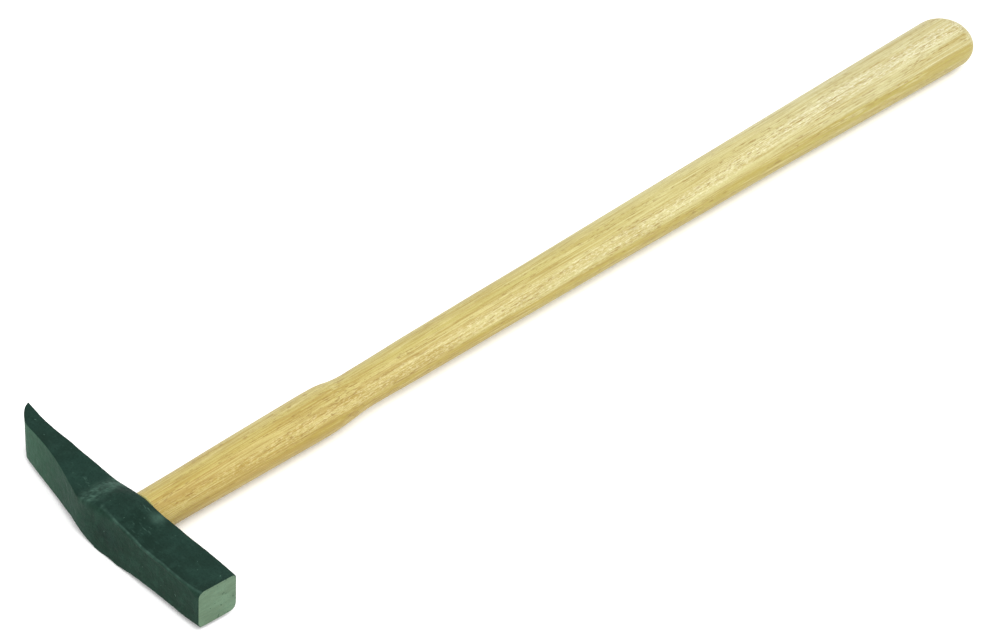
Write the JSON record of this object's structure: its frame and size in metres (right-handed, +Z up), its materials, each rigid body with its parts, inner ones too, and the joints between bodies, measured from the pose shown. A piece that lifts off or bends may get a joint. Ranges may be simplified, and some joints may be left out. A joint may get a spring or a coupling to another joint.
{
  "type": "tiler's hammer",
  "caption": "Small tiler's hammer: forged head with a square face and a flat chisel pein, wedged on a slim turned hickory handle.",
  "frame": {"origin": "on the lower cheek of the head, straight under the eye's centre, with the hammer lying on its side", "axes": "+X along the handle from the head to the butt, +Y from the striking face to the pein, +Z up out of the upper cheek"},
  "size_m": [0.2964, 0.0807, 0.0152],
  "materials": {
    "head_coating": "thin dark green-black coating, satin, bare ground striking face",
    "hickory": "clear satin varnish over pale hickory with fine straight grain",
    "wedge_wood": "plain hardwood, end grain showing",
    "wedge_steel": "stamped steel, dull"
  },
  "bodies": {
    "root": {"hammer_head": "head_coating", "handle": "hickory", "wood_wedge": "wedge_wood", "steel_wedge": "wedge_steel"}
  },
  "joints": []
}
